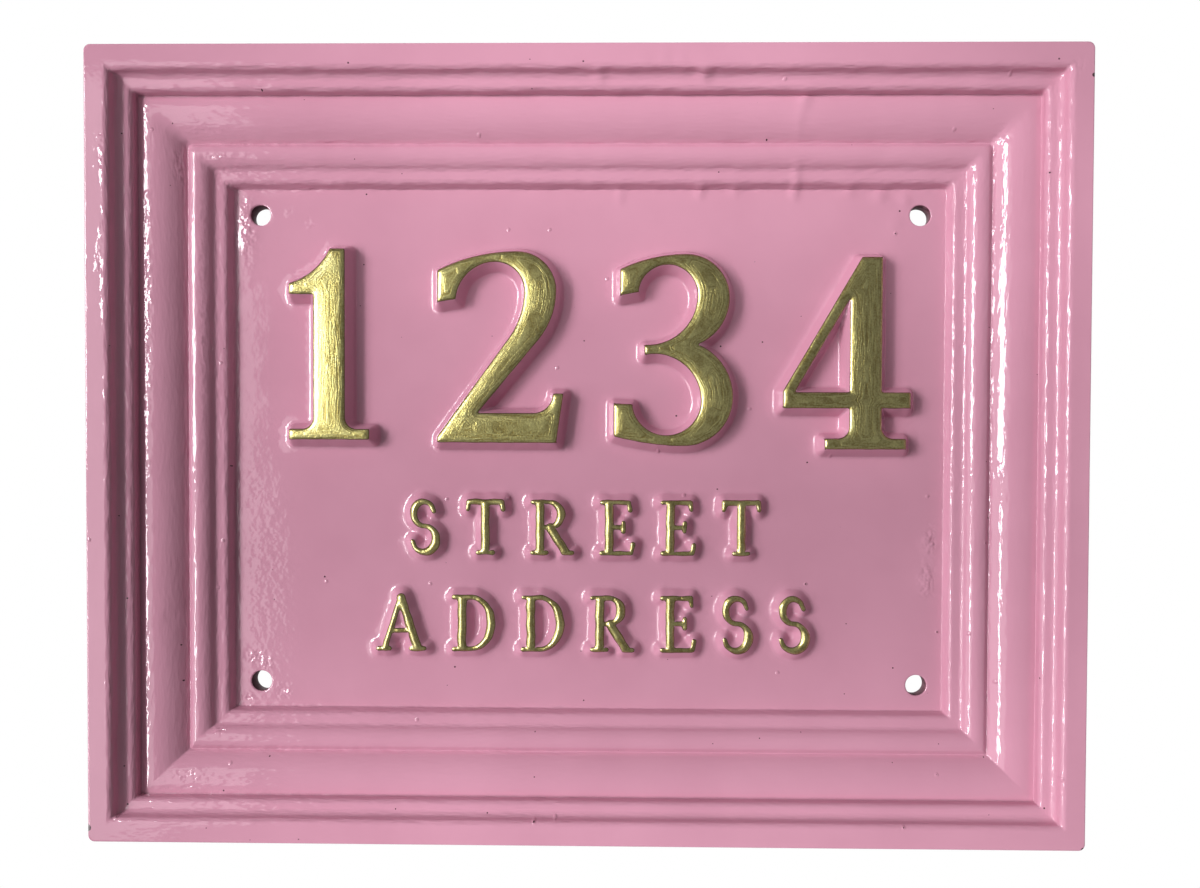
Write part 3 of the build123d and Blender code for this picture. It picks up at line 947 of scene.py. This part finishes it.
class Shade:
    """A new material, and short ways to add and join its nodes."""

    def __init__(self, name):
        self.material = bpy.data.materials.new(name)
        self.material.use_nodes = True
        self.nodes = self.material.node_tree.nodes
        self.links = self.material.node_tree.links
        self.surface = self.nodes["Principled BSDF"]
        coordinates = self.nodes.new("ShaderNodeTexCoord").outputs
        self.place = coordinates["Object"]
        self.normal = coordinates["Normal"]

    def set(self, socket, value):
        """Sets one of the surface's values."""
        self.surface.inputs[socket].default_value = value

    def join(self, source, node, socket):
        """Feeds an output to a node's input."""
        self.links.new(source, node.inputs[socket])

    def attribute(self, name, output):
        """A value or vector kept on the mesh's points."""
        node = self.nodes.new("ShaderNodeAttribute")
        node.attribute_name = name
        return node.outputs[output]

    def flat_place(self):
        """Places on the front as (x, z)."""
        split = self.nodes.new("ShaderNodeSeparateXYZ")
        self.join(self.place, split, "Vector")
        flat = self.nodes.new("ShaderNodeCombineXYZ")
        self.join(split.outputs["X"], flat, "X")
        self.join(split.outputs["Z"], flat, "Y")
        return flat

    def grain(self, turns, detail, place=None):
        """Noise of about 0 to 1, with this many turns to the metre."""
        node = self.nodes.new("ShaderNodeTexNoise")
        node.inputs["Scale"].default_value = turns
        node.inputs["Detail"].default_value = detail
        self.join(place or self.place, node, "Vector")
        return node.outputs["Fac"]

    def bump(self, height, depth, under=None, strength=None):
        """Normals of a relief of this depth, over another relief and of a varied strength if given."""
        node = self.nodes.new("ShaderNodeBump")
        node.inputs["Distance"].default_value = depth
        self.join(height, node, "Height")
        if under:
            self.join(under, node, "Normal")
        if strength:
            self.join(strength, node, "Strength")
        return node.outputs["Normal"]

    def relief(self, grain, under=None, strength=None, place=None):
        """Normals of a grain given as (turns to the metre, detail, depth)."""
        turns, detail, depth = grain
        return self.bump(self.grain(turns, detail, place), depth, under, strength)

    def calc(self, operation, first, second):
        """Two values combined by an operation, where the second may be a number."""
        node = self.nodes.new("ShaderNodeMath")
        node.operation = operation
        self.join(first, node, 0)
        if isinstance(second, float):
            node.inputs[1].default_value = second
        else:
            self.join(second, node, 1)
        return node.outputs["Value"]

    def between(self, factor, limits, colours):
        """A colour that runs from the first to the second as the factor runs between the limits."""
        node = self.nodes.new("ShaderNodeValToRGB")
        for element, limit, colour in zip(node.color_ramp.elements, limits, colours):
            element.position = limit
            element.color = (*colour, 1)
        self.join(factor, node, "Fac")
        return node.outputs["Color"]

    def over(self, colour, mask, top):
        """A colour with another laid over it where the mask is 1."""
        node = self.nodes.new("ShaderNodeMix")
        node.data_type = "RGBA"
        self.join(mask, node, "Factor")
        self.join(colour, node, "A")
        node.inputs["B"].default_value = (*top, 1)
        return node.outputs["Result"]


def scattered(shade, flat):
    """Cells with a point in each: distance from the point, and three lots from 0 to 1 drawn by a cell."""
    cells = shade.nodes.new("ShaderNodeTexVoronoi")
    cells.voronoi_dimensions = "2D"
    cells.inputs["Scale"].default_value = SPECKS_PER_METRE
    shade.join(flat.outputs["Vector"], cells, "Vector")
    lots = shade.nodes.new("ShaderNodeSeparateColor")
    shade.join(cells.outputs["Color"], lots, "Color")
    return cells.outputs["Distance"], lots.outputs


def pimples(shade, distance, lots):
    """Height of sparse small pimples, from 0 to 1."""
    away = shade.calc("POWER", shade.calc("DIVIDE", distance, PIMPLE_SIZE), 2.0)
    rise = shade.calc("SUBTRACT", shade.calc("MULTIPLY", away, -1.0), -1.0)
    height = shade.calc("MAXIMUM", rise, 0.0)
    return shade.calc("MULTIPLY", height, shade.calc("GREATER_THAN", lots["Green"], PIMPLE_SHARE))


def speckled(shade, distance, lots):
    """A mask that is 1 on sparse small specks on the front, and on the chips."""
    size = shade.calc("MULTIPLY", shade.calc("SUBTRACT", lots["Red"], SPECK_SHARE), SPECK_SIZE)
    facing = shade.nodes.new("ShaderNodeSeparateXYZ")
    shade.join(shade.normal, facing, "Vector")
    front = shade.calc("LESS_THAN", facing.outputs["Y"], FRONT_FACING)
    mask = shade.calc("MULTIPLY", shade.calc("LESS_THAN", distance, size), front)
    for x, z, radius in CHIPS:
        away = shade.nodes.new("ShaderNodeVectorMath")
        away.operation = "DISTANCE"
        away.inputs[1].default_value = (x, cad_low.y, z)
        shade.join(shade.place, away, 0)
        mask = shade.calc("MAXIMUM", mask, shade.calc("LESS_THAN", away.outputs["Value"], radius))
    return mask


def enamel():
    """Thick glossy pink enamel with brush marks, a fine orange peel, specks, pimples and chips."""
    shade = Shade("pink_enamel")
    shade.set("Roughness", ENAMEL_ROUGHNESS)
    shade.set("IOR", ENAMEL_IOR)
    distance, lots = scattered(shade, shade.flat_place())
    colour = shade.between(shade.grain(*ENAMEL_CLOUDS), ENAMEL_RANGE, ENAMEL_COLOURS)
    specks = speckled(shade, distance, lots)
    shade.join(shade.over(colour, specks, SPECK_COLOUR), shade.surface, "Base Color")
    brushed = shade.attribute("brushed", "Vector")
    marks = shade.relief(BRUSH_MARKS, strength=shade.attribute("ripple", "Fac"), place=brushed)
    lumps = shade.relief(ROUGH_LUMPS, marks, shade.attribute("rough", "Fac"))
    peel = shade.relief(FINE_PEEL, shade.relief(ORANGE_PEEL, lumps))
    shade.join(shade.bump(pimples(shade, distance, lots), PIMPLE_DEPTH, peel), shade.surface, "Normal")
    return shade.material


def gilding():
    """Gold paint, brushed along the strokes, with thin painted shade along its edge where the paint rolls
    over.
    """
    shade = Shade("gold_paint")
    shade.set("Metallic", 1.0)
    shade.set("Roughness", GOLD_ROUGHNESS)
    shade.set("Coat Weight", 1.0)
    shade.set("Coat Roughness", COAT_ROUGHNESS)
    shade.set("Coat IOR", COAT_IOR)
    distance = shade.attribute("edge_distance", "Fac")
    stray = shade.calc("MULTIPLY", shade.grain(*STRAY_GRAIN), BRUSH_STRAY)
    across = shade.calc("MULTIPLY", shade.calc("ADD", distance, stray), BRUSH_FINENESS)
    along = shade.flat_place()
    shade.join(across, along, "Z")
    streaks = shade.calc("MULTIPLY", shade.grain(*GOLD_STREAKS, along.outputs["Vector"]), STREAK_SHARE)
    speckle = shade.calc("MULTIPLY", shade.grain(*GOLD_SPECKLE), SPECKLE_SHARE)
    mixed = shade.calc("ADD", streaks, speckle)
    colour = shade.between(mixed, GOLD_RANGE, GOLD_COLOURS)
    # Painted shade: the gold is darkened to brown within a few tenths of a millimetre of its edge.
    rim = shade.between(shade.calc("MULTIPLY", distance, -1.0), EDGE_SHADE_REACH, ((1, 1, 1), (0, 0, 0)))
    shade.join(shade.over(colour, rim, EDGE_SHADE_COLOUR), shade.surface, "Base Color")
    shade.join(shade.bump(mixed, GOLD_DEPTH), shade.surface, "Normal")
    return shade.material


def cast_back():
    """The back, where the enamel lies thin and dull over the grain of the sand."""
    shade = Shade("cast_back")
    shade.set("Roughness", BACK_ROUGHNESS)
    grain = shade.grain(*BACK_GRAIN)
    shade.join(shade.between(grain, BACK_RANGE, BACK_COLOURS), shade.surface, "Base Color")
    shade.join(shade.bump(grain, BACK_DEPTH), shade.surface, "Normal")
    return shade.material


def hole_wall_painted_shade():
    """The wall of a screw hole, dull and coloured dark maroon as painted shade."""
    shade = Shade("hole_wall_painted_shade")
    shade.set("Roughness", HOLE_ROUGHNESS)
    shade.set("Specular IOR Level", HOLE_SPECULAR)
    # Painted shade: the hole's wall is coloured dark maroon, as if in shadow.
    colour = shade.between(shade.grain(*HOLE_GRAIN), HOLE_RANGE, HOLE_SHADE_COLOURS)
    shade.join(colour, shade.surface, "Base Color")
    return shade.material


for material in (enamel(), gilding(), cast_back(), hole_wall_painted_shade()):
    mesh.materials.append(material)
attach(plaque, "root")
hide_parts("plaque")


def make_floor():
    """A plain pale floor, well below the plaque."""
    bpy.ops.mesh.primitive_plane_add(size=FLOOR_SIZE, location=FLOOR_PLACE)
    floor = bpy.context.object
    material = bpy.data.materials.new("pale_floor")
    material.use_nodes = True
    shader = material.node_tree.nodes["Principled BSDF"]
    shader.inputs["Base Color"].default_value = FLOOR_COLOUR
    shader.inputs["Roughness"].default_value = FLOOR_ROUGHNESS
    floor.data.materials.append(material)


def make_camera():
    """The camera at the photograph's place."""
    data = bpy.data.cameras.new("camera")
    data.lens = CAMERA_LENS
    data.shift_x, data.shift_y = CAMERA_SHIFT
    data.clip_start = CAMERA_CLIP
    camera = bpy.data.objects.new("camera", data)
    aim = Euler((math.pi / 2 - CAMERA_PITCH, 0, CAMERA_YAW)).to_matrix()
    turn = aim @ Matrix.Rotation(CAMERA_ROLL, 3, "Z")
    camera.matrix_world = Matrix.Translation(Vector(CAMERA_PLACE) * MM) @ turn.to_4x4()
    bpy.context.scene.collection.objects.link(camera)
    bpy.context.scene.camera = camera


def area_light(name, place, aim, size, radiance, mirrored, beam):
    """A rectangular light of even radiance, which gloss mirrors or not, in a beam of these degrees."""
    data = bpy.data.lights.new(name, "AREA")
    data.shape = "RECTANGLE"
    data.size, data.size_y = size
    data.energy = radiance * math.pi * size[0] * size[1]
    data.spread = math.radians(beam)
    light = bpy.data.objects.new(name, data)
    light.location = place
    light.rotation_euler = (Vector(aim) - Vector(place)).to_track_quat("-Z", "Y").to_euler()
    light.visible_glossy = mirrored
    bpy.context.scene.collection.objects.link(light)


def make_world():
    """White to the camera and behind the plaque, and dim light from the rest of the room."""
    world = bpy.data.worlds.new("studio")
    bpy.context.scene.world = world
    world.use_nodes = True
    nodes = world.node_tree.nodes
    links = world.node_tree.links
    path = nodes.new("ShaderNodeLightPath")
    split = nodes.new("ShaderNodeSeparateXYZ")
    links.new(nodes.new("ShaderNodeTexCoord").outputs["Generated"], split.inputs["Vector"])
    sheen = nodes.new("ShaderNodeMapRange")
    sheen.inputs["From Min"].default_value = -SHEEN_TURN
    sheen.inputs["From Max"].default_value = SHEEN_TURN
    sheen.inputs["To Min"].default_value = FRONT_SHEEN
    sheen.inputs["To Max"].default_value = 1.0
    links.new(split.outputs["Y"], sheen.inputs["Value"])
    mirrored = nodes.new("ShaderNodeMath")
    mirrored.operation = "MAXIMUM"
    links.new(path.outputs["Is Glossy Ray"], mirrored.inputs[0])
    links.new(path.outputs["Is Transmission Ray"], mirrored.inputs[1])
    room = nodes.new("ShaderNodeMix")
    room.inputs["A"].default_value = FILL
    links.new(mirrored.outputs["Value"], room.inputs["Factor"])
    links.new(sheen.outputs["Result"], room.inputs["B"])
    strength = nodes.new("ShaderNodeMix")
    strength.inputs["B"].default_value = 1.0
    links.new(path.outputs["Is Camera Ray"], strength.inputs["Factor"])
    links.new(room.outputs["Result"], strength.inputs["A"])
    background = nodes["Background"]
    background.inputs["Color"].default_value = (1, 1, 1, 1)
    links.new(strength.outputs["Result"], background.inputs["Strength"])


make_floor()
make_camera()
for light in LIGHTS:
    area_light(*light)
make_world()
bpy.context.scene.view_settings.view_transform = "Standard"
